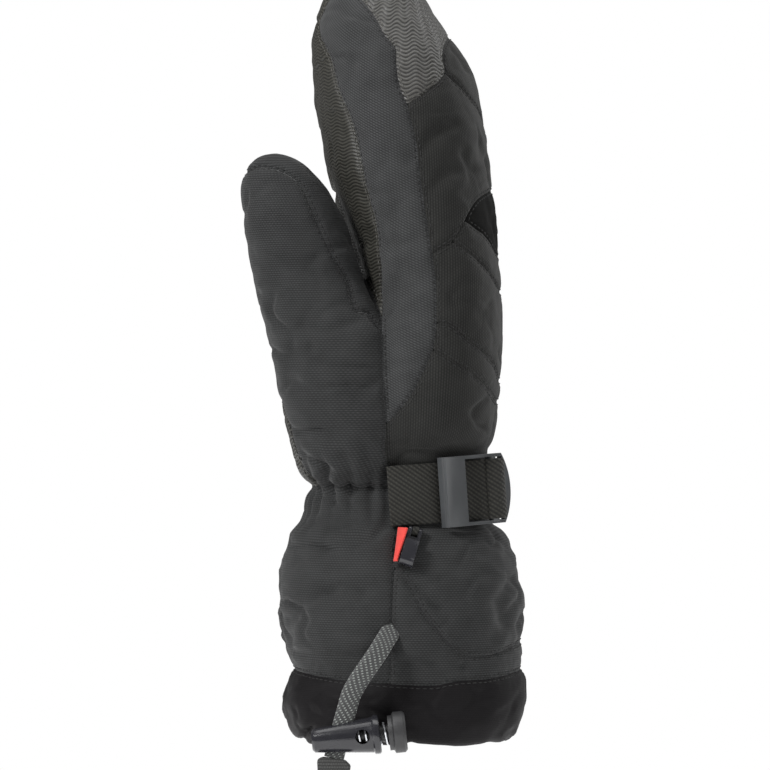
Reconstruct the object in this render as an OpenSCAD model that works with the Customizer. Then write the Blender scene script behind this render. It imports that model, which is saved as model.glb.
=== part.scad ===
// A padded ski mitten for the right hand: fingertips up along +Z, palm at -X, back of the hand at +X,
// thumb side at -Y. The origin is the centre of the cuff's opening, at the hem.

/* [Layers] */
// Thickness of the outer shell's fabric
shell_t = 1.2; // [0.8:0.1:1.4]
// Thickness of the waterproof insert
insert_t = 0.5; // [0.3:0.1:0.6]
// Thickness of the padding around the hand
padding_t = 5.6; // [4:0.2:6]
// Thickness of the padding in the gauntlet
gauntlet_padding_t = 2; // [1.5:0.1:2.2]
// Thickness of the lining
lining_t = 1; // [0.6:0.1:1.2]
// Room between two layers, and between two sewn panels
layer_gap = 0.3; // [0.2:0.05:0.4]

/* [Wrist strap] */
// Width of the strap's webbing
strap_w = 24.5; // [20:0.5:25]
// Thickness of the strap's webbing
strap_t = 1.5; // [1.2:0.1:1.6]
// Length of the ladder buckle, along the strap
buckle_l = 35; // [34.5:0.5:37]
// Height of the ladder buckle, across the strap
buckle_h = 28.5; // [28:0.5:30]

/* [Draw cord and lock] */
// Width of the flat draw cord
cord_w = 8; // [7:0.5:8]
// Thickness of the flat draw cord
cord_t = 3; // [2:0.5:3]
// Length of the cord lock's barrel
barrel_l = 27.5; // [27:0.5:29]
// Radius of the plunger's cap
cap_r = 8.3; // [7:0.1:8.5]
// How far the plunger can be pressed
plunger_stroke = 3; // [2:0.5:3]

/* [Hidden] */
$fn = 48;
n_sides = 22;
roundness = 2.3;
far = 95;
wrist_z = 103;
hem_turn = 24;
// Half the width of a block that is larger than the mitten, and its height
reach = 150;
tall = 400;

// Depth of each layer's outer face below the mitten's outer face
insert_d = shell_t + layer_gap;
padding_d = insert_d + insert_t + layer_gap;
hand_lining_d = padding_d + padding_t + layer_gap;
gauntlet_lining_d = padding_d + gauntlet_padding_t + layer_gap;

// Sections of the hand and gauntlet: height, lowest x, highest x, lowest y, highest y
hand_rows = [
  [0, -45.5, 45, -52, 52], [9, -49.3, 48.3, -54, 54],
  [19, -49.2, 49.4, -54, 54], [24, -47.5, 49.2, -53, 53], [28, -45.6, 48.2, -52.2, 52.2],
  [36, -48.6, 48, -53.6, 53.6], [50, -50.3, 47.8, -54, 54],
  [65, -49.8, 46.2, -52.8, 52.8], [77, -47.8, 43, -48.5, 48.5], [83, -45.3, 39.5, -45, 45],
  [87, -41.5, 34, -41, 41], [100, -39, 33, -40, 40], [116, -35, 33, -42, 42],
  [126, -30, 36.5, -49, 49], [140, -24.5, 38.8, -52.5, 52.5],
  [160, -17, 39.8, -54.2, 54.2], [180, -14.5, 39.8, -54.5, 54.5], [195, -17.5, 39, -54.5, 54.5],
  [208, -20.8, 38, -54.5, 54.5], [222, -26, 36.3, -54.2, 54.2], [236, -31.6, 34.6, -53.5, 53.5],
  [248, -33.8, 33.3, -52.3, 52.3], [260, -35.8, 30.8, -50.5, 50.5], [271, -37.2, 28, -48, 48],
  [281, -37.7, 23.5, -44.5, 44.5], [290, -37.4, 17.2, -40, 40], [298, -35.6, 11.7, -34.5, 34.5],
  [306, -32.6, 7.5, -28, 28], [313, -28, 2.5, -20, 20], [318, -22, -4, -11, 11]
];
hand_tip = [-13.5, 0, 320.5];
hand_dome = [248, -0.25, 0, 33.5, 52.3];

// Sections of the thumb, which leans away from the palm
thumb_rows = [
  [101, -36.5, -4, -36, 16], [108, -41.5, 2, -41.5, 19], [116, -45.2, 5, -47, 20],
  [130, -49, 6, -51.5, 18], [148, -52.2, 5.5, -54, 14], [162, -54.6, 1, -53.2, 10],
  [175, -58, -9.5, -49.5, 6], [188, -60.8, -17.6, -45, 3],
  [199, -62.8, -21, -43, 2], [209, -64.6, -24.8, -42, 1], [219, -65.9, -29.6, -41, 0],
  [227, -66.2, -34.6, -38, -3], [232.5, -65, -40, -34, -7], [236.7, -60.8, -45.8, -28, -13]
];
thumb_tip = [-53, -20.5, 239];
thumb_dome = [199, -41.9, -20.5, 20.9, 22.5];

// Seams, as points [x, z] seen from the thumb's side. Each runs from the fingertips to the cuff,
// or from the side panel round to the back of the hand.
tip_seam = [[-16, 326], [-26, 311]];
palm_seam = [
  [-26, 311], [-32.5, 301], [-35.5, 290], [-30.8, 278.6], [-27, 265], [-21.7, 251], [-16.4, 227],
  [-11.5, 206], [-10.6, 197], [-9.6, 177.5], [-8.7, 147], [-7.6, 128.7]
];
centre_seam = [[-7.6, 128.7], [-7.8, 117], [-6.2, 109], [-5, wrist_z]];
cuff_seam = [[-5, wrist_z], [-2.9, 96.8], [-2.5, 88], [-4.1, 80], [-4.4, 71.3], [-5.3, 55], [-5.8, 24]];
wrap_edge = [
  [-26, 311], [-18.2, 302.6], [-12.9, 295.6], [-7.6, 285.8], [-3.7, 281], [-3.7, 276],
  [-1.6, 263.6], [0.8, 258.3]
];
wrap_foot = [[0.8, 258.3], [7.4, 262.4], [12.7, 267], [16.4, 271.4]];
wrap_back = [[16.4, 271.4], [15.6, 281], [19.5, 291], [far, 291]];
back_seam_top = [[0.8, 258.3], [4.1, 245], [5.7, 233], [7, 222], [9, 209.5], [10.9, 197.5]];
back_seam_mid = [[10.9, 197.5], [12.3, 188], [12.6, 170]];
back_seam_strip = [[12.6, 170], [12.2, 165], [11.1, 159]];
back_seam_foot = [[11.1, 159], [6.8, 149], [1.5, 139.4], [-7.6, 128.7]];
crown_seam = [[16.4, 271.4], [20.9, 267.7], [27, 261.6], [31.6, 255.4], [32.8, 250], [far, 250]];
chevron_foot = [[10.9, 197.5], [19, 202.5]];
chevron_mid = [[19, 202.5], [24.2, 211]];
chevron_top = [[24.2, 211], [29.1, 219.5], [35.7, 224.7], [far, 224.7]];
inlay_foot = [[24.2, 211], [30.8, 207], [39, 196.8], [far, 196.8]];
knuckle_seam = [[19, 202.5], [25.4, 198.4], [31.6, 193.5], [36, 188.2], [39.4, 182.9], [far, 182.9]];
strip_top = [
  [12.6, 170], [18.5, 168.7], [24.6, 163.4], [30.8, 158.7], [36, 153.8], [38.8, 146.4], [far, 146.4]
];
strip_foot = [[11.1, 159], [20, 154], [26.2, 150], [32.6, 144.7], [37.5, 137.8], [far, 137.8]];
cuff_curve = [
  [-4.4, 71.3], [1.6, 65.6], [7.8, 52], [13.5, 45.5], [19.3, 38.5], [25.2, 35.3], [32.8, 34.9],
  [47, 38.5], [far, 38.5]
];
hem_seam = [
  [-far, 27.5], [-45, 27.5], [-21.7, 25], [-0.8, 23.8], [11.9, 23.4], [20.9, 25], [32.8, 25.4],
  [47.8, 27.5], [far, 27.5]
];
thumb_seam = [
  [-far, 231.5], [-65.6, 231.5], [-61.5, 233.7], [-55.4, 233.3], [-48.4, 231.2], [-42.2, 225.9],
  [-37.7, 215.7], [-33.2, 205], [-27.9, 194.3], [-23.4, 186.6], [-21.3, 178.4], [-18.9, 174],
  [-16.4, 174.7], [-13.5, 171.4], [-9.6, 166.5], [far, 166.5]
];
heel_seam = [[-far, 139], [-50.5, 139], [-46, 124], [-42, 113], [-36, wrist_z]];

// Skin between the thumb's root and the centre seam: its outline, and how far round it reaches
patch_x = -22;
patch_top = 140;
patch_y = -30;
patch_outline = [
  [patch_x, wrist_z], [-4, wrist_z], [-5.2, 109], [-6.8, 117], [-7.6, 128.7], [-8.4, patch_top],
  [patch_x, patch_top]
];

// Wrist strap: the oval it follows, how it rises towards the back of the hand, and its ladder buckle
wrist_c = -3;
wrist_a = 36;
wrist_b = 40.6;
strap_gap = 1.6;
strap_z = 100;
strap_rise = 4;
buckle_at = [14.8, -44.5];
buckle_turn = 38;
buckle_bar_s = 26.5;
buckle_grip = 11.8;
buckle_bar_r = 2.2;
buckle_end = 3.8;
buckle_play = 0.6;
// How far the webbing leans in under the bar, so that the buckle's end clears it when it tips
strap_lean = 1.4;
wrap_r = buckle_bar_r + 0.4 + strap_t / 2;

// Draw cord: its route, from behind the slit in the centre seam to the pull tab
cord_route = [
  [-4.8, -51.6, 47], [-6.1, -53.9, 45], [-7.4, -56.1, 43], [-8.7, -58.4, 41], [-10.1, -60.6, 38.8],
  [-11.7, -62.1, 36.4], [-13.5, -63.1, 33.8], [-15.4, -63.5, 31], [-17.5, -63.5, 28],
  [-19.4, -63.5, 25], [-21.1, -63.5, 22], [-22.3, -63.5, 19], [-23.1, -63.5, 16],
  [-24.2, -63.5, 12], [-25.3, -63.5, 8], [-26.3, -63.5, 4], [-27.4, -63.5, 0], [-28.7, -63.5, -5]
];
cord_lean = 15;
channel_z = 31.5;
channel_top = 52;
channel_d = 3.1;
channel_r = 1.1;
slit_at = [-6.3, -54, 44.6];

// Cord lock: its hole sits on the cord, and its axis rises a little towards the plunger
lock_hole = [-26.6, -63.5, 3];
lock_rise = 6;
lock_hole_at = 11;
barrel_r1 = 4.8;
barrel_r2 = 7.2;
rim_r = 7.9;
bore_r = 3.75;
spring_bore_r = 5.3;
spring_bore_at = 16.5;
window_at = 20.5;
window_r = 2.9;
stem_r = 3.4;
stem_at = 4.4;
cap_gap = plunger_stroke + 0.5;
cap_l = 7;
spring_r = 4.35;
spring_wire_r = 0.55;
spring_turns = 5;
spring_steps = 11;
hole_play = 0.4;

// Pair hook: its pin, its tilt in the seam's plane and its lean off the cuff
hook_pin = [4, -47, 85.4];
hook_tilt = 17;
hook_lean = -24;
hook_pin_r = 0.9;
hook_loop_w = 2.4;
hook_cheek = 1.4;
hook_w = hook_loop_w + 0.4 + 2 * hook_cheek;

// Seam tag: its lower corners, two in the seam and two outside it
tag_corners = [[-3.1, -44.3, 86.8], [-4.9, -52, 73.2], [0.3, -53.2, 86.8], [-3.9, -56.5, 73.6]];
tag_t = 1;

// ---- Padded body ----

function back_to_front(line) = [for (i = [len(line) - 1 : -1 : 0]) line[i]];

function power(t, e) = sign(t) * pow(abs(t), e);

// One point of a rounded oval, at the angle w, about the centre c
function oval_at(c, a, w) =
  [c[0] + a[0] * power(cos(w), 2 / roundness), c[1] + a[1] * power(sin(w), 2 / roundness)];

// A section moved in by d: straight in below the dome, and shrunk towards the dome's centre above
function moved_in(row, dome, tip_z, d) =
  row[0] <= dome[0]
    ? [row[0], row[1] + d, row[2] - d, row[3] + d, row[4] - d]
    : let (kx = 1 - d / dome[3], ky = 1 - d / dome[4], kz = 1 - d / (tip_z - dome[0]))
      [
        dome[0] + (row[0] - dome[0]) * kz,
        dome[1] + (row[1] - dome[1]) * kx,
        dome[1] + (row[2] - dome[1]) * kx,
        dome[2] + (row[3] - dome[2]) * ky,
        dome[2] + (row[4] - dome[2]) * ky
      ];

function ring(row) =
  let (c = [(row[1] + row[2]) / 2, (row[3] + row[4]) / 2], a = [(row[2] - row[1]) / 2, (row[4] - row[3]) / 2])
  [for (k = [0 : n_sides - 1]) let (p = oval_at(c, a, 360 * k / n_sides)) [p[0], p[1], row[0]]];

// A closed bag through the sections, moved in by d; its mouth is drawn down by mouth_drop
module bag(rows, tip, dome, d, mouth_drop) {
  inner = [for (r = rows) moved_in(r, dome, tip[2], d)];
  mouth = [inner[0][0] - mouth_drop, inner[0][1], inner[0][2], inner[0][3], inner[0][4]];
  shut = concat(mouth_drop > 0 ? [mouth] : [], inner);
  n = len(shut);
  top = [
    dome[1] + (tip[0] - dome[1]) * (1 - d / dome[3]),
    dome[2] + (tip[1] - dome[2]) * (1 - d / dome[4]),
    tip[2] - d
  ];
  points = concat([for (r = shut) each ring(r)], [top, [(shut[0][1] + shut[0][2]) / 2, 0, shut[0][0]]]);
  walls = [
    for (i = [0 : n - 2], k = [0 : n_sides - 1])
      let (a = i * n_sides + k, b = i * n_sides + (k + 1) % n_sides)
      each [[a, a + n_sides, b + n_sides], [a, b + n_sides, b]]
  ];
  last = (n - 1) * n_sides;
  cap = [for (k = [0 : n_sides - 1]) [last + k, n * n_sides, last + (k + 1) % n_sides]];
  floor_ = [for (k = [0 : n_sides - 1]) [n * n_sides + 1, k, (k + 1) % n_sides]];
  polyhedron(points, concat(walls, cap, floor_), convexity = 6);
}

module hand_bag(d, mouth_drop = 0) { bag(hand_rows, hand_tip, hand_dome, d, mouth_drop); }

module thumb_bag(d) { bag(thumb_rows, thumb_tip, thumb_dome, d, 0); }

// The wall of the hand between two depths, open into the thumb
module hand_wall(d, t) {
  difference() {
    hand_bag(d);
    hand_bag(d + t, 3);
    thumb_bag(d + t);
  }
}

// The wall of the thumb between two depths, ending on the hand
module thumb_wall(d, t) {
  difference() {
    thumb_bag(d);
    thumb_bag(d + t);
    hand_bag(d - layer_gap);
  }
}

// A prism through the mitten along Y, of an outline given as [x, z] points
module through(outline) {
  rotate([90, 0, 0]) linear_extrude(2 * reach, center = true) offset(delta = -layer_gap / 2) polygon(outline);
}

module slab(z1, z2) { translate([-reach, -reach, z1]) cube([2 * reach, 2 * reach, z2 - z1]); }

// Keeps its children at their size, as one mesh
module one_mesh() { resize([0, 0, 0]) union() children(); }

module slit() { translate(slit_at) rotate([0, 33, 0]) cube([cord_w + 1.2, 12, cord_t + 8], center = true); }

module hand_panel(outline) {
  one_mesh() intersection() {
    hand_wall(0, shell_t);
    through(outline);
  }
}

module thumb_part(outline) {
  one_mesh() intersection() {
    thumb_wall(0, shell_t);
    through(outline);
  }
}

side_outline = concat(
  palm_seam, back_to_front(back_seam_foot), back_to_front(back_seam_strip),
  back_to_front(back_seam_mid), back_to_front(back_seam_top), back_to_front(wrap_edge)
);

// The two side panels have the same outline, one at -Y and one at +Y
module side_panel(side) {
  one_mesh() intersection() {
    hand_wall(0, shell_t);
    through(side_outline);
    translate([-reach, side > 0 ? 0 : -reach, 0]) cube([2 * reach, reach, tall]);
  }
}

module thumb_side_panel() { color("#3a3b3e") side_panel(-1); }

module pinky_side_panel() { color("#3a3b3e") side_panel(1); }

module beside_thumb() {
  intersection() {
    through(patch_outline);
    translate([-reach, -reach, 0]) cube([2 * reach, reach + patch_y, tall]);
  }
}

module palm_panel() {
  color("#4d4a42") one_mesh() difference() {
    intersection() {
      hand_wall(0, shell_t);
      through(concat([[-far, 326]], tip_seam, palm_seam, centre_seam, [[-far, wrist_z]]));
    }
    translate([patch_x - 1, -reach, wrist_z - 1]) cube([1 - patch_x, reach + patch_y, patch_top + 3 - wrist_z]);
  }
}

module fingertip_wrap() {
  color("#5a564e") hand_panel(concat(
    back_to_front(tip_seam), [[far, 326]], back_to_front(wrap_back), back_to_front(wrap_foot),
    back_to_front(wrap_edge)));
}

module upper_back_panel() {
  color("#3b3b39") hand_panel(concat(wrap_back, back_to_front(crown_seam)));
}

module finger_back_panel() {
  color("#3d3d3b") hand_panel(concat(
    wrap_foot, crown_seam, back_to_front(chevron_top), back_to_front(chevron_mid),
    back_to_front(chevron_foot), back_to_front(back_seam_top)));
}

module triangle_inlay() { color("#24241f") hand_panel(concat(chevron_top, back_to_front(inlay_foot))); }

module knuckle_panel() {
  color("#3b3b39") hand_panel(concat(chevron_mid, inlay_foot, back_to_front(knuckle_seam)));
}

module mid_back_panel() {
  color("#3d3d3b") hand_panel(concat(
    chevron_foot, knuckle_seam, back_to_front(strip_top), back_to_front(back_seam_mid)));
}

module back_strip() {
  color("#3a3a38") hand_panel(concat(strip_top, back_to_front(strip_foot), back_to_front(back_seam_strip)));
}

module wrist_back_panel() {
  color("#3d3d3b") one_mesh() intersection() {
    hand_wall(0, shell_t);
    union() {
      through(concat(
        strip_foot, [[far, wrist_z]], back_to_front(centre_seam), back_to_front(back_seam_foot)));
      beside_thumb();
    }
  }
}

module thumb_panel() {
  color("#3a3b3e") thumb_part(concat(thumb_seam, [[far, wrist_z]], back_to_front(heel_seam)));
}

module thumb_gusset() { color("#3c3c3b") thumb_part(concat(thumb_seam, [[far, 250], [-far, 250]])); }

module palm_heel_panel() { color("#4d4a42") thumb_part(concat(heel_seam, [[-far, wrist_z]])); }

module gauntlet_palm_panel() {
  color("#3a3b3e") one_mesh() difference() {
    intersection() {
      hand_wall(0, shell_t);
      through(concat(cuff_seam, back_to_front([for (p = hem_seam) if (p[0] < -6) p]), [[-far, wrist_z]]));
    }
    slit();
  }
}

module gauntlet_back_panel() {
  color("#3d3d3e") hand_panel(concat(
    [for (p = cuff_seam) if (p[1] > 71) p], cuff_curve, [[far, wrist_z]]));
}

module lower_cuff_panel() {
  color("#3a3a3c") one_mesh() difference() {
    intersection() {
      hand_wall(0, shell_t);
      through(concat(
        cuff_curve, back_to_front([for (p = hem_seam) if (p[0] > -6) p]),
        back_to_front([for (p = cuff_seam) if (p[1] < 71.3) p])));
    }
    slit();
  }
}

// The hem is turned in under the padding, so its section is a U
module hem_band() {
  inner_d = gauntlet_lining_d;
  color("#28262a") one_mesh() {
    intersection() {
      hand_wall(0, shell_t);
      through(concat(hem_seam, [[far, -5], [-far, -5]]));
    }
    intersection() {
      difference() {
        hand_bag(0.01);
        hand_bag(inner_d + lining_t, 3);
      }
      slab(-1, shell_t);
    }
    intersection() {
      difference() {
        hand_bag(inner_d);
        hand_bag(inner_d + lining_t, 3);
      }
      slab(-1, hem_turn);
    }
  }
}

module wrist_elastic() {
  color("#1d1d1d") one_mesh() intersection() {
    hand_wall(padding_d, 1);
    slab(wrist_z - 7, wrist_z - 1);
    through([[-far, 90], [-far, 110], [-6, 110], [-6, 90]]);
  }
}

module waterproof_insert() {
  color("#8a9096") one_mesh() difference() {
    union() {
      hand_bag(insert_d);
      thumb_bag(insert_d);
    }
    hand_bag(insert_d + insert_t, 3);
    thumb_bag(insert_d + insert_t);
    slab(-10, channel_top);
  }
}

module hand_padding() {
  color("#d8d8d4") one_mesh() difference() {
    hand_wall(padding_d, padding_t);
    slab(-10, wrist_z + 1.5);
  }
}

module thumb_padding() { color("#d8d8d4") one_mesh() thumb_wall(padding_d, padding_t); }

module gauntlet_padding() {
  color("#d8d8d4") one_mesh() intersection() {
    hand_wall(padding_d, gauntlet_padding_t);
    slab(channel_top, wrist_z - 7.3);
  }
}

module hand_lining() {
  color("#2b2b2d") one_mesh() difference() {
    hand_wall(hand_lining_d, lining_t);
    slab(-10, wrist_z + 1.5);
  }
}

module thumb_lining() { color("#2b2b2d") one_mesh() thumb_wall(hand_lining_d, lining_t); }

module gauntlet_lining() {
  color("#2b2b2d") one_mesh() intersection() {
    hand_wall(gauntlet_lining_d, lining_t);
    slab(hem_turn + layer_gap, wrist_z + 1.2);
  }
}

// ---- Draw cord ----

function unit(v) = v / norm(v);

function along(route, i) =
  unit(route[min(i + 1, len(route) - 1)] - route[max(i - 1, 0)]);

// A tube along a route: an oval of half sizes w and t, with w along the direction side
module tube(route, side, w, t, sides) {
  n = len(route);
  points = [
    for (i = [0 : n - 1])
      let (d = along(route, i), flat_ = unit(side - d * (side * d)), up = cross(d, flat_))
      for (k = [0 : sides - 1])
        route[i] + flat_ * w * cos(360 * k / sides) + up * t * sin(360 * k / sides)
  ];
  walls = [
    for (i = [0 : n - 2], k = [0 : sides - 1])
      let (a = i * sides + k, b = i * sides + (k + 1) % sides)
      each [[a, a + sides, b + sides], [a, b + sides, b]]
  ];
  ends = [[for (k = [0 : sides - 1]) k], [for (k = [sides - 1 : -1 : 0]) (n - 1) * sides + k]];
  polyhedron(points, concat(walls, ends), convexity = 6);
}

module draw_cord() { color("#5c5d5c") tube(cord_route, [0.883, 0, -0.469], cord_w / 2, cord_t / 2, 12); }

// The elastic that runs round the cuff in its channel, with both ends at the slit
module channel_cord() {
  row = [for (k = [0 : 4]) lookup(channel_z, [for (r = hand_rows) [r[0], r[k]]])];
  c = [(row[1] + row[2]) / 2, 0];
  a = [row[2] - c[0] - channel_d, row[4] - channel_d];
  route = [for (w = [-86 : 10 : 254]) let (p = oval_at(c, a, w)) [p[0], p[1], channel_z]];
  color("#2f302f") tube(route, [0, 0, 1], channel_r, channel_r, 8);
}

// The local z runs along the cord where it goes through the lock
module cord_frame() { translate(lock_hole) rotate([0, cord_lean, 0]) children(); }

// The local z runs along the lock's axis, from its closed end to the plunger
module lock_frame() {
  translate(lock_hole) rotate([0, 90 - lock_rise, 0]) translate([0, 0, -lock_hole_at]) children();
}

// A slot along the cord, as wide as the cord with room to run, and wider by extra on the plunger's side
module cord_slot(extra) {
  w = cord_w + 2 * hole_play;
  t = cord_t + 2 * hole_play;
  cord_frame() linear_extrude(60, center = true) {
    translate([-w / 2 + t / 2, -t / 2]) square([w - t + extra, t]);
    translate([-w / 2 + t / 2, 0]) circle(t / 2);
    translate([w / 2 - t / 2 + extra, 0]) circle(t / 2);
  }
}

module lock_barrel() {
  color("#17171a") difference() {
    lock_frame() difference() {
      rotate_extrude() polygon([
        [0, 0], [barrel_r1 - 1, 0], [barrel_r1, 1], [barrel_r2, barrel_l - 3], [rim_r, barrel_l - 2.4],
        [rim_r, barrel_l - 0.5], [rim_r - 0.5, barrel_l], [0, barrel_l]
      ]);
      translate([0, 0, 1.2]) cylinder(r = bore_r, h = barrel_l);
      translate([0, 0, spring_bore_at]) cylinder(r = spring_bore_r, h = barrel_l);
      translate([0, 0, window_at]) rotate([90, 0, 0]) cylinder(r = window_r, h = 20);
    }
    cord_slot(0);
  }
}

module lock_plunger() {
  cap_at = barrel_l + cap_gap;
  color("#1c1c1f") difference() {
    lock_frame() rotate_extrude() polygon([
      [0, stem_at], [stem_r - 0.4, stem_at], [stem_r, stem_at + 0.4], [stem_r, cap_at], [cap_r - 1.3, cap_at],
      [cap_r - 1.3, cap_at + 1.6], [cap_r, cap_at + 2.2], [cap_r, cap_at + cap_l - 1],
      [cap_r - 1, cap_at + cap_l], [0, cap_at + cap_l]
    ]);
    cord_slot(plunger_stroke);
  }
}

module lock_spring() {
  z1 = spring_bore_at + spring_wire_r + 0.1;
  z2 = barrel_l + cap_gap - spring_wire_r - 0.1;
  steps = spring_turns * spring_steps;
  route = [
    for (i = [0 : steps])
      let (w = 360 * i / spring_steps)
      [spring_r * cos(w), spring_r * sin(w), z1 + (z2 - z1) * i / steps]
  ];
  color("#b9bcc2") lock_frame() tube(route, [0, 0, 1], spring_wire_r, spring_wire_r, 6);
}

// A folded fabric tab on the cord's end, hanging from it
module pull_tab() {
  end = cord_route[len(cord_route) - 1];
  color("#3b3b39") translate(end) rotate([0, 8, 0]) rotate([90, 0, 0])
    linear_extrude(5, center = true) polygon([
      [-6.6, -1.5], [-4.6, 0], [4.6, 0], [7.2, -2], [7, -5], [4.8, -11], [5, -25], [3.8, -27],
      [-3.8, -27], [-5, -25], [-4.8, -11]
    ]);
}

// ---- Wrist strap ----

function on_wrist(w) = oval_at(
  [wrist_c, 0],
  [wrist_a + strap_gap + strap_t / 2, wrist_b + strap_gap + strap_t / 2], w);

// From the buckle's own directions to the mitten's: s along the strap, out away from the wrist
function in_buckle(s, out) =
  let (c = cos(buckle_turn), k = sin(buckle_turn))
  [buckle_at[0] + s * c + out * k, buckle_at[1] + s * k - out * c];

strap_line = concat(
  [for (w = [-94 : 5 : -49]) on_wrist(w)],
  [for (w = [113 : -14 : -27]) in_buckle(buckle_bar_s + wrap_r * cos(w), wrap_r * sin(w))],
  [in_buckle(buckle_bar_s + wrap_r - strap_lean, -5.6), [35.9, -12.4]],
  [for (w = [-8 : 6 : 94]) on_wrist(w)]
);

// A strip of even thickness along a line of [x, y] points
function strip_side(line, t) = [
  for (i = [0 : len(line) - 1])
    let (d = unit(line[min(i + 1, len(line) - 1)] - line[max(i - 1, 0)])) line[i] + [d[1], -d[0]] * t
];

// The strap and its buckle rise a little towards the back of the hand; the local z is across the strap
module strap_frame() { translate([0, 0, strap_z]) rotate([0, -strap_rise, 0]) children(); }

module wrist_strap() {
  color("#2d2c27") strap_frame() linear_extrude(strap_w, center = true)
    polygon(concat(strip_side(strap_line, strap_t / 2), back_to_front(strip_side(strap_line, -strap_t / 2))));
}

module buckle_frame() {
  strap_frame() translate([buckle_at[0], buckle_at[1], 0]) rotate([0, 0, buckle_turn]) children();
}

module strap_buckle() {
  end_r = (pow(buckle_h / 2, 2) + pow(buckle_end, 2)) / (2 * buckle_end);
  rail = (buckle_h - strap_w) / 2 - buckle_play;
  color("#3c3f40") buckle_frame() {
    rotate([90, 0, 0]) linear_extrude(3, center = true) difference() {
      intersection() {
        translate([0, -buckle_h / 2]) square([buckle_l, buckle_h]);
        translate([buckle_l - end_r, 0]) circle(end_r);
      }
      translate([buckle_grip - 0.1, -buckle_h / 2 + rail])
        square([buckle_l - buckle_end - buckle_grip + 0.1, buckle_h - 2 * rail]);
    }
    translate([0, 0, -buckle_h / 2]) linear_extrude(buckle_h)
      polygon([
        [0, 0.6], [1, 1.5], [buckle_grip, 1.5], [buckle_grip, -1.8], [4, -2.6], [1.2, -2.2], [0, -0.6]
      ]);
    translate([buckle_bar_s, 0, -buckle_h / 2 + 1]) cylinder(r = buckle_bar_r, h = buckle_h - 2);
  }
}

// ---- Small pieces in the centre seam ----

module seam_tag() {
  color("#d0403c") hull() for (corner = tag_corners) translate(corner) cube([tag_t, tag_t, 0.6]);
}

module hook_frame() { translate(hook_pin) rotate([0, hook_tilt, 0]) children(); }

// A ribbon from behind the strap, rolled round the hook's pin; its outline is given in [y, z]
module hook_loop() {
  color("#1b1b1b") hook_frame() rotate([90, 0, 90]) difference() {
    union() {
      cylinder(r = hook_pin_r + 1.1, h = hook_loop_w, center = true);
      linear_extrude(hook_loop_w, center = true)
        polygon([[1, 1.5], [5.9, 2.1], [5.9, 7], [6.4, 7], [6.4, 1.9], [5.9, 1.5], [1.8, 0.8]]);
    }
    cylinder(r = hook_pin_r + 0.2, h = 2 * hook_loop_w, center = true);
  }
}

module pair_hook() {
  color("#121214") hook_frame() rotate([hook_lean, 0, 0]) {
    rotate([0, 90, 0]) cylinder(r = hook_pin_r, h = hook_w, center = true);
    for (side = [-1, 1])
      translate([side * (hook_w - hook_cheek) / 2, 0, 0]) rotate([90, 0, 90])
        linear_extrude(hook_cheek, center = true) {
          circle(hook_pin_r + 0.8);
          translate([-1.7, -4]) square([2.3, 4]);
        }
    rotate([90, 0, 90]) linear_extrude(hook_w, center = true) difference() {
      union() {
        translate([-1.7, -13.4]) square([2.3, 10.4]);
        translate([-4, -13.4]) square([4.6, 4.6]);
        translate([-4.6, -13.4]) square([1.6, 8]);
        translate([-2, -13.4]) circle(2.6);
      }
      translate([-3, -12.6]) square([1.3, 9]);
    }
  }
}

thumb_side_panel();
pinky_side_panel();
palm_panel();
palm_heel_panel();
fingertip_wrap();
upper_back_panel();
finger_back_panel();
triangle_inlay();
knuckle_panel();
mid_back_panel();
back_strip();
wrist_back_panel();
thumb_panel();
thumb_gusset();
gauntlet_palm_panel();
gauntlet_back_panel();
lower_cuff_panel();
hem_band();
wrist_elastic();
waterproof_insert();
hand_padding();
thumb_padding();
gauntlet_padding();
hand_lining();
thumb_lining();
gauntlet_lining();
channel_cord();
wrist_strap();
strap_buckle();
seam_tag();
hook_loop();
pair_hook();
draw_cord();
lock_barrel();
lock_plunger();
lock_spring();
pull_tab();
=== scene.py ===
"""The looks of a padded ski mitten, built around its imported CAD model.

Lengths below are in millimetres unless a name says otherwise, and are turned into metres when a mesh
is made. Fingertips point up along +Z, the palm faces -X, the back of the hand +X and the thumb -Y.
The shell is one fine surface, cut along the seams into its panels. Each panel is then padded out
between its seams, wrinkled and stitched.
"""

import math

import bmesh
import bpy
import numpy as np
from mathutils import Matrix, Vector, noise
from mathutils.bvhtree import BVHTree
from mathutils.kdtree import KDTree


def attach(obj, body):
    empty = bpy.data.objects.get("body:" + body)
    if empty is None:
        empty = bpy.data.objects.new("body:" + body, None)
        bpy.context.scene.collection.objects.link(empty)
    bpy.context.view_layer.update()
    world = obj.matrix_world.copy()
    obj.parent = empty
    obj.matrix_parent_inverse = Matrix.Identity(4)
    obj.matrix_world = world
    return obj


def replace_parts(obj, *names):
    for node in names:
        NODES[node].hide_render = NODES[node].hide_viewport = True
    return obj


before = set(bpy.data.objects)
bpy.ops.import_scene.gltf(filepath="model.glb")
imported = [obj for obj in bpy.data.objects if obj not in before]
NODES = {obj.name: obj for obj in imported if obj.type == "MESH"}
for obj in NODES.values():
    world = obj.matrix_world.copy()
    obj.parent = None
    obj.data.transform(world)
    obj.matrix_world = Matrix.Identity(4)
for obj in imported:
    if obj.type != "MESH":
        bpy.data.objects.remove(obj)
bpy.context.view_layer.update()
MM = 0.001

# ---- Camera ----

VIEW_CENTRE = (-8.2, 144.7)
VIEW_FIELD = 315.7
VIEW_DISTANCE = 2000
FOCUS_Y = -20
SENSOR = 36


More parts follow.
